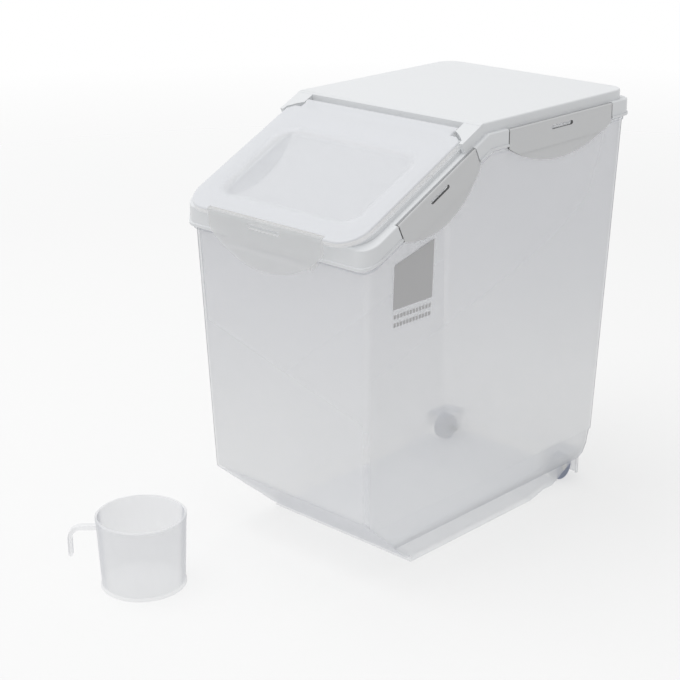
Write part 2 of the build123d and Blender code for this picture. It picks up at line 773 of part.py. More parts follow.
def flip_outline():
    """The flip lid as a solid slab, its upper edge rounded except at the hinge."""
    with BuildPart() as slab:
        add(flip_slab(0, HINGE_DOWN, FLIP_LOW, FLIP_TOP))
        top = faces().sort_by(OUT_OF_SLOPE)[-1]
        fillet(top.edges().sort_by(Axis.Y)[:-1], FLIP_EDGE)
    return slab.part


def recess():
    """The dished recess: a sloping side all round a flat floor, with soft edges."""
    floor = FLIP_TOP - RECESS_DEPTH
    above = RECESS_DEPTH / 4
    levels = [(floor, RECESS_SIDE), (FLIP_TOP + above, -RECESS_SIDE * above / RECESS_DEPTH)]
    with BuildPart() as dish:
        for height, inset in levels:
            bottom = RECESS_BOTTOM + inset
            top = RECESS_TOP - inset
            with BuildSketch(SLOPE_PLANE.offset(height)):
                with Locations((0, (bottom + top) / 2)):
                    RectangleRounded(2 * (RECESS_HALF - inset), top - bottom, RECESS_CORNER - inset)
        loft(ruled=True)
        fillet(faces().sort_by(OUT_OF_SLOPE)[0].edges(), RECESS_BLEND)
    return dish.part


with BuildPart() as flip_lid:
    inside_top = UNDERSIDE + FLIP_SHEET / 5
    add(flip_outline())
    add(flip_slab(FLIP_WALL, HINGE_DOWN - 6, FLIP_LOW - 1, UNDERSIDE), mode=Mode.SUBTRACT)
    add(rod(HINGE_AXIS, -BARREL_HALF, 2 * BARREL_HALF, BARREL_RADIUS))
    stub_end = NOTCH_HALF + STUB_BLOCK
    add(slope_bar(-stub_end, stub_end, NOTCH_BOTTOM, NOTCH_BOTTOM + FLIP_WALL, FLIP_LOW, inside_top))
    add(slope_bar(-stub_end, -NOTCH_HALF, FLIP_BOTTOM, NOTCH_BOTTOM, FLIP_LOW, inside_top))
    add(slope_bar(NOTCH_HALF, stub_end, FLIP_BOTTOM, NOTCH_BOTTOM, FLIP_LOW, inside_top))
    plug_half = MOUTH_HALF - PLUG_GAP
    plug_bottom = MOUTH_BOTTOM + PLUG_GAP
    plug_top = MOUTH_TOP - PLUG_GAP
    plug_corner = MOUTH_CORNER - PLUG_GAP
    add(slope_ring(plug_half, plug_bottom, plug_top, plug_corner, PLUG_WALL, PLUG_LOW, inside_top))
    pan_inset = RECESS_SIDE - RECESS_WALL
    pan_half = RECESS_HALF - pan_inset
    pan_low = FLIP_TOP - RECESS_DEPTH - RECESS_SHEET
    pan_corner = RECESS_CORNER - pan_inset
    add(slope_block(pan_half, RECESS_BOTTOM + pan_inset, RECESS_TOP - pan_inset, pan_corner, pan_low, inside_top))
    add(recess(), mode=Mode.SUBTRACT)
    notch = slope_bar(-NOTCH_HALF, NOTCH_HALF, FLIP_BOTTOM - 5, NOTCH_BOTTOM, FLIP_LOW - 2, FLIP_TOP + 2)
    add(notch, mode=Mode.SUBTRACT)
    add(latch_bore(FRONT_FACE, FRONT_LATCH_HALF, FRONT_BARREL), mode=Mode.SUBTRACT)
    for side in (1, -1):
        bore_start = side * (HINGE_PIN_START - PIN_END_GAP)
        pin_bore = rod(HINGE_AXIS, bore_start, side * HINGE_PIN_LENGTH, HINGE_PIN_RADIUS + RUNNING_GAP)
        add(pin_bore, mode=Mode.SUBTRACT)
flip_lid.part.label = "flip_lid"

with BuildPart() as front_latch:
    panel = (FRONT_LATCH_HALF, FRONT_LATCH_SIDE, FRONT_LATCH_DEEP, FRONT_BAND)
    add(latch(FRONT_FACE, *panel, FRONT_SLOT, FRONT_SLOT_DOWN, FRONT_BARREL, front_hook()))
front_latch.part.label = "front_latch"


# ---- seals

with BuildPart() as lid_gasket:
    add(lid_layer(SEAL_INSET, SHEET, RIM_TOP))
    add(lid_layer(SEAL_INSET + SEAL_WIDE, 0, RIM_TOP + 5), mode=Mode.SUBTRACT)
lid_gasket.part.label = "lid_gasket"

with BuildPart() as flip_lid_gasket:
    seal_half = MOUTH_HALF + FLIP_SEAL_SIDE
    seal_bottom = MOUTH_BOTTOM - FLIP_SEAL_END
    seal_top = MOUTH_TOP + FLIP_SEAL_END
    seal_corner = MOUTH_CORNER + FLIP_SEAL_END
    seal_low = LEDGE_RISE + FLIP_SEAL_GAP
    add(slope_ring(seal_half, seal_bottom, seal_top, seal_corner, FLIP_SEAL_WIDE, seal_low, UNDERSIDE))
flip_lid_gasket.part.label = "flip_lid_gasket"


# ---- label, as thick as a foil, lying on the drafted wall


def label_outline():
    """The label's panel and two rows of plain ticks, seen from the right."""
    panel = [
        (LABEL_FRONT, LABEL_BOTTOM),
        (LABEL_REAR, LABEL_BOTTOM),
        (LABEL_REAR, LABEL_REAR_TOP),
        (LABEL_FRONT, LABEL_FRONT_TOP),
    ]
    with BuildPart() as outline:
        with BuildSketch(Plane.YZ.offset(FOOT_HALF)):
            with BuildLine():
                Polyline(*panel, close=True)
            make_face()
            for row in TICK_ROWS:
                with Locations(((LABEL_FRONT + LABEL_REAR) / 2, row)):
                    with GridLocations(TICK_PITCH, 1, TICK_COUNT, 1):
                        Rectangle(TICK_WIDE, TICK_HIGH)
        extrude(amount=LID_HALF)
    return outline.part


with BuildPart() as capacity_label:
    add(wall_block(LABEL_SHEET))
    add(wall_block(0), mode=Mode.SUBTRACT)
    add(label_outline(), mode=Mode.INTERSECT)
capacity_label.part.label = "capacity_label"


# ---- measuring cup

CUP_PLANE = Plane(origin=(CUP_X, CUP_Y, 0), x_dir=(1, 0, 0), z_dir=(0, -1, 0))
HANDLE_X = cos(radians(HANDLE_ANGLE))
HANDLE_Y = sin(radians(HANDLE_ANGLE))
HANDLE_PLANE = Plane(origin=(CUP_X, CUP_Y, 0), x_dir=(HANDLE_X, HANDLE_Y, 0), z_dir=(HANDLE_Y, -HANDLE_X, 0))
CUP_LIP_RADIUS = CUP_TOP_RADIUS + CUP_LIP_OUT


def cup_profile():
    """Half of the cup's section, from the middle of the foot outwards and back inside."""
    return [
        (0, 0),
        (CUP_FOOT_RADIUS, 0),
        (CUP_FOOT_RADIUS, CUP_STEP_HIGH),
        (CUP_FOOT_RADIUS - CUP_STEP_IN, CUP_STEP_HIGH + 2 * CUP_STEP_IN),
        (CUP_TOP_RADIUS, CUP_HEIGHT - CUP_LIP_HIGH - CUP_LIP_OUT),
        (CUP_LIP_RADIUS, CUP_HEIGHT - CUP_LIP_HIGH),
        (CUP_LIP_RADIUS, CUP_HEIGHT - CUP_LIP_EDGE),
        (CUP_LIP_RADIUS - CUP_LIP_EDGE, CUP_HEIGHT),
        (CUP_TOP_RADIUS - CUP_WALL, CUP_HEIGHT),
        (CUP_FOOT_RADIUS - CUP_STEP_IN - CUP_WALL, CUP_FLOOR),
        (0, CUP_FLOOR),
    ]


def handle_bend(radius):
    """The three points of a quarter turn round the handle's corner."""
    x = HANDLE_REACH - HANDLE_BEND
    y = HANDLE_TOP - HANDLE_BEND
    middle = radius * cos(radians(45))
    return [(x, y + radius), (x + middle, y + middle), (x + radius, y)]


with BuildPart() as measuring_cup:
    with BuildSketch(CUP_PLANE):
        with BuildLine():
            Polyline(*cup_profile(), close=True)
        make_face()
    revolve(axis=Axis((CUP_X, CUP_Y, 0), (0, 0, 1)))
    outer = handle_bend(HANDLE_BEND)
    inner = handle_bend(HANDLE_BEND - HANDLE_SHEET)
    root = CUP_FOOT_RADIUS
    tip = (HANDLE_REACH - HANDLE_SHEET / 2, HANDLE_END - HANDLE_SHEET / 2)
    with BuildSketch(HANDLE_PLANE.offset(-HANDLE_WIDE / 2)):
        with BuildLine():
            Line((root, HANDLE_TOP), outer[0])
            ThreePointArc(*outer)
            Line(outer[2], (HANDLE_REACH, HANDLE_END))
            ThreePointArc((HANDLE_REACH, HANDLE_END), tip, (HANDLE_REACH - HANDLE_SHEET, HANDLE_END))
            Line((HANDLE_REACH - HANDLE_SHEET, HANDLE_END), inner[2])
            ThreePointArc(*inner[::-1])
            Line(inner[0], (root, HANDLE_TOP - HANDLE_SHEET))
            Line((root, HANDLE_TOP - HANDLE_SHEET), (root, HANDLE_TOP))
        make_face()
    extrude(amount=HANDLE_WIDE)
measuring_cup.part.label = "measuring_cup"


# ---- write every piece

os.makedirs("parts", exist_ok=True)
export_step(bin_body.part, "parts/bin_body.step")
export_step(main_lid.part, "parts/main_lid.step")
export_step(lid_gasket.part, "parts/lid_gasket.step")
export_step(flip_lid.part, "parts/flip_lid.step")
export_step(flip_lid_gasket.part, "parts/flip_lid_gasket.step")
export_step(front_latch.part, "parts/front_latch.step")
export_step(capacity_label.part, "parts/capacity_label.step")
export_step(measuring_cup.part, "parts/measuring_cup.step")

for name, (face, half, slot) in SIDE_LATCHES.items():
    with BuildPart() as piece:
        add(side_latch(face, half, slot))
    piece.part.label = name
    export_step(piece.part, f"parts/{name}.step")

for side, name in ((1, "right"), (-1, "left")):
    with BuildPart() as wheel:
        add(wheel_rod(side, WHEEL_X - WHEEL_WIDTH / 2, WHEEL_WIDTH, WHEEL_RADIUS))
        fillet(wheel.edges().filter_by(GeomType.CIRCLE), WHEEL_EDGE)
        add(wheel_rod(side, 0, LID_HALF, WHEEL_PIN_RADIUS + RUNNING_GAP), mode=Mode.SUBTRACT)
    wheel.part.label = f"{name}_wheel"
    export_step(wheel.part, f"parts/{name}_wheel.step")
    with BuildPart() as wheel_pin:
        head_start = WHEEL_X + WHEEL_WIDTH / 2 + PIN_HEAD_GAP
        add(wheel_rod(side, PIN_START, head_start - PIN_START, WHEEL_PIN_RADIUS))
        add(wheel_rod(side, head_start, PIN_HEAD, PIN_HEAD_RADIUS))
    wheel_pin.part.label = f"{name}_wheel_pin"
    export_step(wheel_pin.part, f"parts/{name}_wheel_pin.step")
    with BuildPart() as hinge_pin:
        add(rod(HINGE_AXIS, side * HINGE_PIN_START, side * HINGE_PIN_LENGTH, HINGE_PIN_RADIUS))
    hinge_pin.part.label = f"{name}_hinge_pin"
    export_step(hinge_pin.part, f"parts/{name}_hinge_pin.step")
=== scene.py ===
from math import cos, radians, sin

import bpy
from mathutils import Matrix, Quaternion, Vector

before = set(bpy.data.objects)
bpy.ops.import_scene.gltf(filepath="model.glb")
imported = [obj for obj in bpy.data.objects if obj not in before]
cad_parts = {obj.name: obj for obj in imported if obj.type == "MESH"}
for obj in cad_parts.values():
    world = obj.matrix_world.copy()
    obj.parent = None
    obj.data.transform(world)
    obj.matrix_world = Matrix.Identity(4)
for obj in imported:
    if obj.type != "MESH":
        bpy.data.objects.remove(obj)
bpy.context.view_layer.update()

bl_info = {
    "name": "Rice Bin With Flip Lid",
    "version": (1, 0, 0),
    "blender": (4, 5, 0),
    "location": "View3D > Sidebar > Rice Bin",
    "description": "Dresses the rice bin's solids in moulded plastic and sets a white studio round them",
    "category": "Object",
}

SIDE_LATCHES = ("right_rear_latch", "right_slope_latch", "left_rear_latch", "left_slope_latch")
WHEELS = ("right_wheel", "left_wheel")
PINS = ("right_hinge_pin", "left_hinge_pin", "right_wheel_pin", "left_wheel_pin")
SEALS = ("lid_gasket", "flip_lid_gasket")


# ---- sizes and colours


def size(name, description, default):
    """A length in metres, set by its number of millimetres."""
    return bpy.props.FloatProperty(
        name=name, description=description, default=default / 1000, subtype="DISTANCE", unit="LENGTH"
    )


def factor(name, description, default):
    """A share from 0 to 1."""
    return bpy.props.FloatProperty(
        name=name, description=description, default=default, min=0, max=1, subtype="FACTOR"
    )


def colour(name, description, default):
    """A colour written as sRGB hex."""
    return bpy.props.StringProperty(name=name, description=description, default=default)


class RiceBinSizes(bpy.types.PropertyGroup):
    """Edge roundings of the moulded pieces."""

    lid_edge: size("Lid edge", "Rounding of the main lid's edges", 1.0)
    flip_edge: size("Flip lid edge", "Rounding of the flip lid's edges", 1.4)
    latch_edge: size("Latch edge", "Rounding of the latches' edges", 0.5)
    tub_edge: size("Tub edge", "Rounding of the tub's edges", 0.6)
    cup_edge: size("Cup edge", "Rounding of the cup's edges", 0.5)
    small_edge: size("Small edge", "Rounding of the wheels' and pins' edges", 0.2)


class RiceBinColours(bpy.types.PropertyGroup):
    """Colours and clearness of the materials; some colours hold painted light and shade."""

    # Painted light and shade: the tub is painted lighter near the floor, where the floor shines through, and
    # greyer near the rim.
    tub: colour("Tub", "Clear polypropylene of the tub near the floor", "#F8F9FA")
    tub_high: colour("Tub, high", "The same near the rim", "#DBDDE2")
    # Partly painted shade: an upright wall seen edge-on is painted darker, besides being more opaque where
    # light crosses more plastic.
    tub_contour: colour("Tub, contour", "The same where an upright wall is seen edge-on", "#888A90")
    tub_flat: colour("Tub, flat", "The same where it lies flat, as its thick bottom does", "#DDE1E9")
    tub_body: factor("Tub body", "How much of the wall shows against what is behind it", 0.2)
    tub_edge_body: factor("Tub edge body", "The same where the wall is seen edge-on", 0.6)
    lid: colour("Lid", "White polypropylene of the main lid", "#E9EBED")
    flip: colour("Flip lid", "Milky polypropylene of the flip lid", "#E4E6EA")
    # Painted light: the sides of the flip lid and the front latch are painted white, lifting the shade on
    # them and giving bright edges.
    milky_side_painted_light: colour("Milky sides", "The same on the sides of the flip lid and the front latch", "#FFFFFF")
    flip_body: factor("Flip lid body", "How much of its frame shows against what is below it", 0.92)
    flip_dish_body: factor("Flip lid dish body", "The same for its dished floor", 0.55)
    latch: colour("Latches", "Milky polypropylene of the latches", "#DEDFE0")
    # Painted shade: the side latches' slots and edges are painted dark grey.
    latch_side_painted_shade: colour("Latches, sides", "The same inside the slots and along the edges", "#808080")
    latch_body: factor("Latch body", "How much of a side latch shows", 0.95)
    front_latch_body: factor("Front latch body", "How much of the thin front latch shows", 0.38)
    seal: colour("Seals", "White silicone of the seals", "#E6E6E4")
    wheel: colour("Wheels", "Blue-grey nylon of the wheels", "#8E95A8")
    steel: colour("Pins", "Drawn steel of the pins", "#A9A8A5")
    label: colour("Label", "Grey print of the label", "#C0C0C1")
    # Painted shade: the cup is painted a little greyer near the rim, so that its lamp-lit rim does not stand
    # out.
    cup: colour("Cup", "Clear polypropylene of the measuring cup", "#FCFDFF")
    cup_high: colour("Cup, high", "The same near the rim", "#F8F9FC")
    # Partly painted shade: the cup's wall seen edge-on is painted darker, besides being more opaque there.
    cup_contour: colour("Cup, contour", "The same where an upright wall is seen edge-on", "#DEE0E5")
    cup_flat: colour("Cup, flat", "The same where it lies flat", "#FCFDFF")
    cup_body: factor("Cup body", "How much of the cup's wall shows", 0.34)
    cup_edge_body: factor("Cup edge body", "The same where the wall is seen edge-on", 0.5)


class RiceBinStage(bpy.types.PropertyGroup):
    """Floor, light and camera."""

    floor: colour("Floor", "White paper of the floor", "#FFFFFF")
    floor_radius: bpy.props.FloatProperty(
        name="Floor radius",
        description="Half width of the floor",
        default=2.4,
        subtype="DISTANCE",
        unit="LENGTH",
    )
    sky: factor("Sky", "Light from all round", 0.6)
    lens: bpy.props.FloatProperty(
        name="Lens", description="Focal length in millimetres", default=86.8, subtype="NONE"
    )


# ---- helpers


def linear(hex_colour):
    """A linear colour from sRGB hex."""
    channels = [int(hex_colour[i : i + 2], 16) / 255 for i in (1, 3, 5)]
    return [c / 12.92 if c <= 0.04045 else ((c + 0.055) / 1.055) ** 2.4 for c in channels] + [1.0]


def add_node(tree, kind, settings=None, links=None):
    """Adds one node; settings go to its sockets or properties, links join other sockets to its inputs."""
    made = tree.nodes.new(kind)
    for name, value in (settings or {}).items():
        if isinstance(name, str) and hasattr(made, name) and name not in made.inputs:
            setattr(made, name, value)
        else:
            made.inputs[name].default_value = value
    for name, source in (links or {}).items():
        tree.links.new(source, made.inputs[name])
    return made


def new_material(name):
    """An empty material and its node tree."""
    material = bpy.data.materials.new(name)
    material.use_nodes = True
    material.node_tree.nodes.clear()
    return material, material.node_tree


def dress(node, material):
    """Gives a CAD node its material."""
    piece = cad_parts[node]
    piece.data.materials.clear()
    piece.data.materials.append(material)
    return piece


# An edge sharper than this, in degrees, is rounded.
SHARP = 28
# Facets that meet within this angle, in degrees, are one flat face.
FLAT = 0.5
# Corners of neighbouring facets closer than this, in metres, are one.
SAME_PLACE = 0.00001
ROUNDING_STEPS = 3


def soften(node, width, join_facets=True):
    """Rounds a CAD node's edges. Its facets are joined into whole faces first, save on the round cup."""
    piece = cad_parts[node]
    piece.data.shade_smooth()
    for name in ("custom_normal", "sharp_edge"):
        if name in piece.data.attributes:
            piece.data.attributes.remove(piece.data.attributes[name])
    weld = piece.modifiers.new("weld", "WELD")
    weld.merge_threshold = SAME_PLACE
    if join_facets:
        join = piece.modifiers.new("faces", "DECIMATE")
        join.decimate_type = "DISSOLVE"
        join.angle_limit = radians(FLAT)
    bevel = piece.modifiers.new("edges", "BEVEL")
    bevel.width = width
    bevel.segments = ROUNDING_STEPS
    bevel.limit_method = "ANGLE"
    bevel.angle_limit = radians(SHARP)
    bevel.miter_outer = "MITER_ARC"
    bevel.harden_normals = True
    normals = piece.modifiers.new("normals", "WEIGHTED_NORMAL")
    normals.keep_sharp = True
    return piece


# ---- materials

# Refractive index of polypropylene, and near enough for the other plastics.
PLASTIC_IOR = 1.49
# The share of clear plastic's body that still blocks light, the rest being scattered forwards.
FORWARD = 0.3
# How soon a clear wall greys as it turns away.
TURN = 0.35
# Turned so far an upright wall begins to show as a contour, is one in full, and then shows this much.
CONTOUR_START = 0.4
CONTOUR_FULL = 0.7
CONTOUR_BODY = 0.9
# A face counts as a side, which takes the painted side colour, up to this cosine of the angle between it and
# the piece's front.
SIDE_END = 0.45

# The lid's slope, and the heights of the flip lid's dish over it.
SLOPE = radians(26.0)
SLOPE_ORIGIN = (0.0, -0.030, 0.370)
OUT_OF_SLOPE = (0.0, -sin(SLOPE), cos(SLOPE))
DISH_FLOOR = 0.0063
DISH_RIM = 0.0095
# Heights up to which the walls of the tub and the cup change colour, from painted light near the floor to
# painted shade near the rim.
TUB_TOP = 0.30
CUP_TOP = 0.063

FLOOR_LEVEL = (0.0, 0.0, 0.0)
UP = (0.0, 0.0, 1.0)
SIDEWAYS = (1.0, 0.0, 0.0)
FORWARDS = (0.0, 1.0, 0.0)

# Sockets of a Mix node for colours, which have no names of their own.
MIX_SHARE, MIX_FIRST, MIX_SECOND, MIX_RESULT = 0, 6, 7, 2


def light_share(tree, open_value, lighting_value):
    """One value for the eye, and another for the rays that light what lies behind a surface."""
    rays = add_node(tree, "ShaderNodeLightPath")
    lighting = add_node(
        tree,
        "ShaderNodeMath",
        {"operation": "MAXIMUM"},
        {0: rays.outputs["Is Shadow Ray"], 1: rays.outputs["Is Diffuse Ray"]},
    )
    share = add_node(
        tree,
        "ShaderNodeMapRange",
        {"To Min": open_value, "To Max": lighting_value},
        {"Value": lighting.outputs["Value"]},
    )
    return share.outputs["Result"]


def let_light_through(tree, seen):
    """The share of a surface that shows, lowered for the rays that light what lies behind it."""
    kept = light_share(tree, 1.0, FORWARD)
    alpha = add_node(tree, "ShaderNodeMath", {"operation": "MULTIPLY"}, {0: seen, 1: kept})
    return alpha.outputs["Value"]


def height_over(tree, origin, direction, low, high, low_value, high_value):
    """A value that runs from one height over a plane to another, fixed to the piece."""
    place = add_node(tree, "ShaderNodeTexCoord")
    from_origin = add_node(
        tree, "ShaderNodeVectorMath", {"operation": "SUBTRACT", 1: origin}, {0: place.outputs["Object"]}
    )
    height = add_node(
        tree,
        "ShaderNodeVectorMath",
        {"operation": "DOT_PRODUCT", 1: direction},
        {0: from_origin.outputs["Vector"]},
    )
    value = add_node(
        tree,
        "ShaderNodeMapRange",
        {
            "interpolation_type": "SMOOTHSTEP",
            "From Min": low,
            "From Max": high,
            "To Min": low_value,
            "To Max": high_value,
        },
        {"Value": height.outputs["Value"]},
    )
    return value.outputs["Result"]


def squareness(tree, direction):
    """1 on faces that lie square to a direction, 0 on faces that run along it, fixed to the piece."""
    place = add_node(tree, "ShaderNodeTexCoord")
    along = add_node(
        tree, "ShaderNodeVectorMath", {"operation": "DOT_PRODUCT", 1: direction}, {0: place.outputs["Normal"]}
    )
    square = add_node(tree, "ShaderNodeMath", {"operation": "ABSOLUTE"}, {0: along.outputs["Value"]})
    return square.outputs["Value"]


def contour(tree, facing, flat):
    """How far an upright wall is seen edge-on, where light has the most plastic to cross; it also sets where
    the wall is painted darker, as painted shade.
    """
    edge_on = add_node(
        tree,
        "ShaderNodeMapRange",
        {"interpolation_type": "SMOOTHSTEP", "From Min": CONTOUR_START, "From Max": CONTOUR_FULL},
        {"Value": facing},
    )
    upright = add_node(tree, "ShaderNodeMath", {"operation": "SUBTRACT", 0: 1.0}, {1: flat})
    share = add_node(
        tree,
        "ShaderNodeMath",
        {"operation": "MULTIPLY"},
        {0: edge_on.outputs["Result"], 1: upright.outputs["Value"]},
    )
    return share.outputs["Value"]


def clear_polypropylene(name, colours, piece, top):
    """Natural polypropylene, thin and polished by the mould: clear face-on and greyer edge-on, partly as
    painted shade.

    It scatters light forwards, so it shades what lies behind it less than its grey suggests.
    A wall is painted lighter near the floor, as painted light of the floor that shines through, and greyer up
    to the rim;
    along its contour it is more opaque and also painted darker as painted shade, and a bottom that lies flat
    shows a grey of its own.
    """
    material, tree = new_material(name)
    facing = add_node(tree, "ShaderNodeLayerWeight", {"Blend": TURN}).outputs["Facing"]
    flat = squareness(tree, UP)
    edge_on = contour(tree, facing, flat)
    body = {"To Min": getattr(colours, piece + "_body"), "To Max": getattr(colours, piece + "_edge_body")}
    seen = add_node(tree, "ShaderNodeMapRange", body, {"Value": facing})
    dense = add_node(
        tree,
        "ShaderNodeMapRange",
        {"To Max": CONTOUR_BODY},
        {"Value": edge_on, "To Min": seen.outputs["Result"]},
    )
    near_floor_painted_light = linear(getattr(colours, piece))
    # Painted light and shade: the colour is lighter near the floor, where the floor shines through, and
    # greyer towards the rim.
    painted_floor_light_fade = height_over(tree, FLOOR_LEVEL, UP, 0.0, top, 0.0, 1.0)
    tint_with_painted_shading = None
    # The contour colour is painted shade along an edge-on wall.
    for share, place in ((painted_floor_light_fade, "_high"), (flat, "_flat"), (edge_on, "_contour")):
        settings = {
            "data_type": "RGBA",
            MIX_FIRST: near_floor_painted_light,
            MIX_SECOND: linear(getattr(colours, piece + place)),
        }
        links = {MIX_SHARE: share, MIX_FIRST: tint_with_painted_shading} if tint_with_painted_shading else {MIX_SHARE: share}
        tint_with_painted_shading = add_node(tree, "ShaderNodeMix", settings, links).outputs[MIX_RESULT]
    shader = add_node(
        tree,
        "ShaderNodeBsdfPrincipled",
        {"Roughness": 0.22, "IOR": PLASTIC_IOR},
        {"Alpha": let_light_through(tree, dense.outputs["Result"]), "Base Color": tint_with_painted_shading},
    )
    add_node(tree, "ShaderNodeOutputMaterial", None, {"Surface": shader.outputs["BSDF"]})
    return material


def filled_plastic(name, hex_colour, roughness):
    """A plastic with so much pigment or filler that no light goes through: its own colour, satin to matt."""
    material, tree = new_material(name)
    shader = add_node(
        tree,
        "ShaderNodeBsdfPrincipled",
        {"Base Color": linear(hex_colour), "Roughness": roughness, "IOR": PLASTIC_IOR},
    )
    add_node(tree, "ShaderNodeOutputMaterial", None, {"Surface": shader.outputs["BSDF"]})
    return material


def milky_polypropylene(name, hex_colour, painted_side_hex, front, body, dish_body=None, shades=False):
    """Unfilled polypropylene, thick enough to look milky, with light going through it.

    The sides, which run along the direction of the front, take a painted colour: painted light on the flip
    lid and the front latch, painted shade on the side latches.
    A dished floor, thinner than the frame round it, lets more of what is below it show.
    A thick piece shades what lies behind it, and its slots stay dark, by that shade and by painted shade on
    their walls.
    """
    material, tree = new_material(name)
    # Painted light and shade: faces along the front take the painted side colour instead of the piece's own.
    painted_side = add_node(
        tree,
        "ShaderNodeMapRange",
        {"From Max": SIDE_END, "To Min": 1.0, "To Max": 0.0},
        {"Value": squareness(tree, front)},
    )
    tint_with_painted_shading = add_node(
        tree,
        "ShaderNodeMix",
        {"data_type": "RGBA", MIX_FIRST: linear(hex_colour), MIX_SECOND: linear(painted_side_hex)},
        {MIX_SHARE: painted_side.outputs["Result"]},
    )
    settings = {"Roughness": 0.28, "IOR": PLASTIC_IOR}
    links = {"Base Color": tint_with_painted_shading.outputs[MIX_RESULT]}
    if shades:
        settings["Alpha"] = body
    elif dish_body is None:
        links["Alpha"] = light_share(tree, body, body * FORWARD)
    else:
        seen = height_over(tree, SLOPE_ORIGIN, OUT_OF_SLOPE, DISH_FLOOR, DISH_RIM, dish_body, body)
        links["Alpha"] = let_light_through(tree, seen)
    shader = add_node(tree, "ShaderNodeBsdfPrincipled", settings, links)
    add_node(tree, "ShaderNodeOutputMaterial", None, {"Surface": shader.outputs["BSDF"]})
    return material


def drawn_steel(name, hex_colour):
    """Steel rod, drawn through a die: a dull grey metal."""
    material, tree = new_material(name)
    shader = add_node(
        tree,
        "ShaderNodeBsdfPrincipled",
        {"Base Color": linear(hex_colour), "Roughness": 0.35, "Metallic": 1.0},
    )
    add_node(tree, "ShaderNodeOutputMaterial", None, {"Surface": shader.outputs["BSDF"]})
    return material


# ---- operators, one for each piece or group of like pieces


class RICEBIN_OT_tub(bpy.types.Operator):
    """Dress the tub in clear polypropylene"""

    bl_idname = "ricebin.tub"
    bl_label = "Tub"

    def execute(self, context):
        colours = context.scene.rice_bin_colours
        dress("bin_body", clear_polypropylene("clear_polypropylene", colours, "tub", TUB_TOP))
        soften("bin_body", context.scene.rice_bin_sizes.tub_edge)
        return {"FINISHED"}


class RICEBIN_OT_main_lid(bpy.types.Operator):
    """Dress the main lid in white polypropylene"""

    bl_idname = "ricebin.main_lid"
    bl_label = "Main lid"

    def execute(self, context):
        # White polypropylene from a lightly etched mould: opaque, with a satin sheen.
        material = filled_plastic("white_polypropylene", context.scene.rice_bin_colours.lid, 0.38)
        dress("main_lid", material)
        soften("main_lid", context.scene.rice_bin_sizes.lid_edge)
        return {"FINISHED"}


class RICEBIN_OT_flip_lid(bpy.types.Operator):
    """Dress the flip lid in milky polypropylene"""

    bl_idname = "ricebin.flip_lid"
    bl_label = "Flip lid"

    def execute(self, context):
        colours = context.scene.rice_bin_colours
        # The flip lid's sides are painted white as painted light, lifting the shade where they meet the
        # ledge.
        material = milky_polypropylene(
            "milky_polypropylene_lid",
            colours.flip,
            colours.milky_side_painted_light,
            OUT_OF_SLOPE,
            colours.flip_body,
            colours.flip_dish_body,
        )
        dress("flip_lid", material)
        soften("flip_lid", context.scene.rice_bin_sizes.flip_edge)
        return {"FINISHED"}


class RICEBIN_OT_latches(bpy.types.Operator):
    """Dress the five latches in milky polypropylene"""

    bl_idname = "ricebin.latches"
    bl_label = "Latches"

    def execute(self, context):
        colours = context.scene.rice_bin_colours
        # The side latches' slots and edges are painted dark as painted shade; the front latch's sides are
        # painted white as painted light.
        milky = milky_polypropylene(
            "milky_polypropylene_latch",
            colours.latch,
            colours.latch_side_painted_shade,
            SIDEWAYS,
            colours.latch_body,
            shades=True,
        )
        thin = milky_polypropylene(
            "thin_polypropylene_latch",
            colours.latch,
            colours.milky_side_painted_light,
            FORWARDS,
            colours.front_latch_body,
        )
        for name in SIDE_LATCHES + ("front_latch",):
            dress(name, thin if name == "front_latch" else milky)
            soften(name, context.scene.rice_bin_sizes.latch_edge)
        return {"FINISHED"}


class RICEBIN_OT_seals(bpy.types.Operator):
    """Dress the two seals in white silicone"""

    bl_idname = "ricebin.seals"
    bl_label = "Seals"

    def execute(self, context):
        # White silicone, pressed: soft to the eye, almost matt.
        material = filled_plastic("white_silicone", context.scene.rice_bin_colours.seal, 0.6)
        for name in SEALS:
            dress(name, material)
            soften(name, context.scene.rice_bin_sizes.small_edge)
        return {"FINISHED"}


class RICEBIN_OT_wheels(bpy.types.Operator):
    """Dress the wheels in nylon and all pins in steel"""

    bl_idname = "ricebin.wheels"
    bl_label = "Wheels and pins"

    def execute(self, context):
        colours = context.scene.rice_bin_colours
        # Dyed nylon, moulded: blue-grey and satin.
        nylon = filled_plastic("moulded_nylon", colours.wheel, 0.45)
        steel = drawn_steel("drawn_steel", colours.steel)
        for name in WHEELS:
            dress(name, nylon)
            soften(name, context.scene.rice_bin_sizes.small_edge)
        for name in PINS:
            dress(name, steel)
            soften(name, context.scene.rice_bin_sizes.small_edge)
        return {"FINISHED"}


class RICEBIN_OT_label(bpy.types.Operator):
    """Dress the label in grey print"""

    bl_idname = "ricebin.label"
    bl_label = "Label"

    def execute(self, context):
        # Ink on foil, screen-printed: an even grey, hardly glossy.
        material = filled_plastic("grey_print", context.scene.rice_bin_colours.label, 0.5)
        dress("capacity_label", material)
        return {"FINISHED"}


class RICEBIN_OT_cup(bpy.types.Operator):
    """Dress the measuring cup in clear polypropylene"""

    bl_idname = "ricebin.cup"
    bl_label = "Measuring cup"

    def execute(self, context):
        colours = context.scene.rice_bin_colours
        material = clear_polypropylene("cup_polypropylene", colours, "cup", CUP_TOP)
        dress("measuring_cup", material)
        soften("measuring_cup", context.scene.rice_bin_sizes.cup_edge, join_facets=False)
        return {"FINISHED"}


# ---- stage

CAMERA_PLACE = Vector((0.92195, -1.04979, 0.66356))
CAMERA_AZIMUTH = 43.955
CAMERA_ELEVATION = 19.861
CAMERA_ROLL = -0.324
SENSOR = 36.0

# Thin paper on a lit table: this share of it shows the white below, so shadows stay pale.
PAPER_CLEAR = 0.55
# It fades into the background between these shares of the floor's half width.
FADE_START = 0.45
FADE_END = 0.95

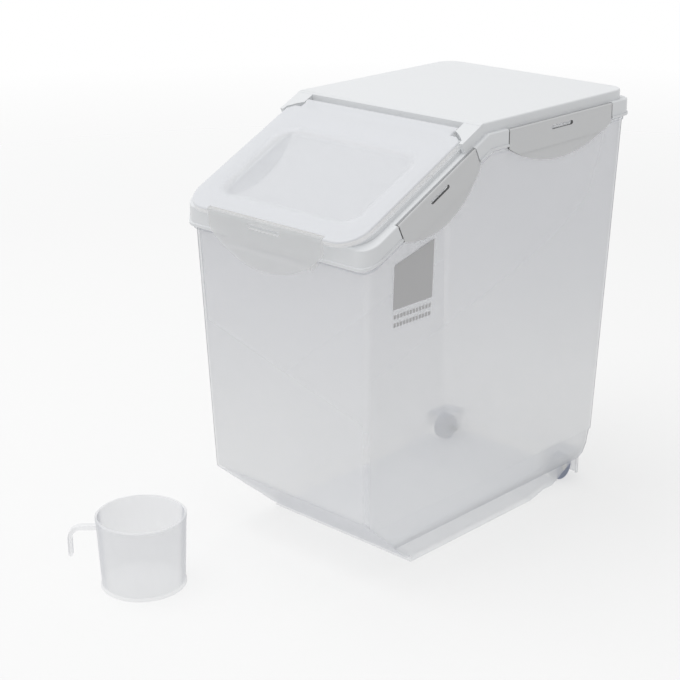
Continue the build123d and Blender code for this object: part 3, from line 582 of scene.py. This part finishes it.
LAMP_PLACE = Vector((-0.7, -0.8, 2.6))
LAMP_TARGET = Vector((0.0, 0.0, 0.2))
LAMP_WIDTH = 2.4
LAMP_WATTS = 30

# Clear surfaces that one ray may cross: both faces of the tub's walls, the lids, the latches and the cup.
CLEAR_LAYERS = 32


def paper(name, hex_colour, radius):
    """White paper that fades into the white background towards its rim."""
    material, tree = new_material(name)
    place = add_node(tree, "ShaderNodeTexCoord")
    distance = add_node(tree, "ShaderNodeVectorMath", {"operation": "LENGTH"}, {0: place.outputs["Object"]})
    fade = add_node(
        tree,
        "ShaderNodeMapRange",
        {"From Min": radius * FADE_START, "From Max": radius * FADE_END},
        {"Value": distance.outputs["Value"]},
    )
    sheet = add_node(tree, "ShaderNodeBsdfDiffuse", {"Color": linear(hex_colour)})
    share = add_node(
        tree, "ShaderNodeMapRange", {"To Min": PAPER_CLEAR, "To Max": 1.0}, {"Value": fade.outputs["Result"]}
    )
    clear = add_node(tree, "ShaderNodeBsdfTransparent")
    both = add_node(
        tree,
        "ShaderNodeMixShader",
        None,
        {"Fac": share.outputs["Result"], 1: sheet.outputs["BSDF"], 2: clear.outputs["BSDF"]},
    )
    add_node(tree, "ShaderNodeOutputMaterial", None, {"Surface": both.outputs["Shader"]})
    return material


def white_sky(strength):
    """Soft light from all round, and plain white to the eye, to gloss and through clear plastic."""
    world = bpy.data.worlds.new("white_studio")
    world.use_nodes = True
    tree = world.node_tree
    tree.nodes.clear()
    rays = add_node(tree, "ShaderNodeLightPath")
    seen = rays.outputs["Is Camera Ray"]
    for kind in ("Is Glossy Ray", "Is Transmission Ray"):
        either = add_node(tree, "ShaderNodeMath", {"operation": "MAXIMUM"}, {0: seen, 1: rays.outputs[kind]})
        seen = either.outputs["Value"]
    level = add_node(tree, "ShaderNodeMapRange", {"To Min": strength, "To Max": 1.0}, {"Value": seen})
    light = add_node(
        tree, "ShaderNodeBackground", {"Color": (1, 1, 1, 1)}, {"Strength": level.outputs["Result"]}
    )
    add_node(tree, "ShaderNodeOutputWorld", None, {"Surface": light.outputs["Background"]})
    bpy.context.scene.world = world


def soft_box(name, place, target, width, watts):
    """A square soft light that looks at a point."""
    data = bpy.data.lights.new(name, "AREA")
    data.size = width
    data.energy = watts
    lamp = bpy.data.objects.new(name, data)
    lamp.location = place
    lamp.rotation_mode = "QUATERNION"
    lamp.rotation_quaternion = (target - place).to_track_quat("-Z", "Y")
    bpy.context.scene.collection.objects.link(lamp)
    return lamp


def add_camera(lens):
    """The camera at the photograph's viewing angle."""
    data = bpy.data.cameras.new("camera")
    data.lens = lens
    data.sensor_width = SENSOR
    camera = bpy.data.objects.new("camera", data)
    azimuth = radians(CAMERA_AZIMUTH)
    elevation = radians(CAMERA_ELEVATION)
    back = Vector((sin(azimuth) * cos(elevation), -cos(azimuth) * cos(elevation), sin(elevation)))
    camera.location = CAMERA_PLACE
    camera.rotation_mode = "QUATERNION"
    roll = Quaternion((0, 0, 1), radians(CAMERA_ROLL))
    camera.rotation_quaternion = (-back).to_track_quat("-Z", "Y") @ roll
    bpy.context.scene.collection.objects.link(camera)
    bpy.context.scene.camera = camera


class RICEBIN_OT_stage(bpy.types.Operator):
    """Add the floor, the light and the camera"""

    bl_idname = "ricebin.stage"
    bl_label = "Stage"

    def execute(self, context):
        stage = context.scene.rice_bin_stage
        half = stage.floor_radius
        mesh = bpy.data.meshes.new("floor")
        corners = [(-half, -half, 0), (half, -half, 0), (half, half, 0), (-half, half, 0)]
        mesh.from_pydata(corners, [], [(0, 1, 2, 3)])
        floor = bpy.data.objects.new("floor", mesh)
        floor.data.materials.append(paper("white_paper", stage.floor, half))
        context.scene.collection.objects.link(floor)
        white_sky(stage.sky)
        soft_box("overhead", LAMP_PLACE, LAMP_TARGET, LAMP_WIDTH, LAMP_WATTS)
        add_camera(stage.lens)
        scene = context.scene
        scene.view_settings.view_transform = "Standard"
        scene.cycles.transparent_max_bounces = CLEAR_LAYERS
        return {"FINISHED"}


# ---- panel and registration


class RICEBIN_PT_panel(bpy.types.Panel):
    """Lists the bin's pieces"""

    bl_idname = "RICEBIN_PT_panel"
    bl_label = "Rice Bin"
    bl_space_type = "VIEW_3D"
    bl_region_type = "UI"
    bl_category = "Rice Bin"

    def draw(self, context):
        for group in ("rice_bin_sizes", "rice_bin_colours", "rice_bin_stage"):
            values = getattr(context.scene, group)
            for name in values.__annotations__:
                self.layout.prop(values, name)
        for operator in OPERATORS:
            self.layout.operator(operator.bl_idname)


GROUPS = {
    "rice_bin_sizes": RiceBinSizes,
    "rice_bin_colours": RiceBinColours,
    "rice_bin_stage": RiceBinStage,
}
OPERATORS = (
    RICEBIN_OT_tub,
    RICEBIN_OT_main_lid,
    RICEBIN_OT_flip_lid,
    RICEBIN_OT_latches,
    RICEBIN_OT_seals,
    RICEBIN_OT_wheels,
    RICEBIN_OT_label,
    RICEBIN_OT_cup,
    RICEBIN_OT_stage,
)
CLASSES = (*GROUPS.values(), *OPERATORS, RICEBIN_PT_panel)


def register():
    """Registers the classes and the scene's values."""
    for cls in CLASSES:
        bpy.utils.register_class(cls)
    for name, group in GROUPS.items():
        setattr(bpy.types.Scene, name, bpy.props.PointerProperty(type=group))


def unregister():
    """Takes them out again."""
    for name in GROUPS:
        delattr(bpy.types.Scene, name)
    for cls in reversed(CLASSES):
        bpy.utils.unregister_class(cls)


def main():
    """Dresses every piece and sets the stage."""
    register()
    for operator in OPERATORS:
        group, name = operator.bl_idname.split(".")
        getattr(getattr(bpy.ops, group), name)()


if __name__ == "__main__":
    main()
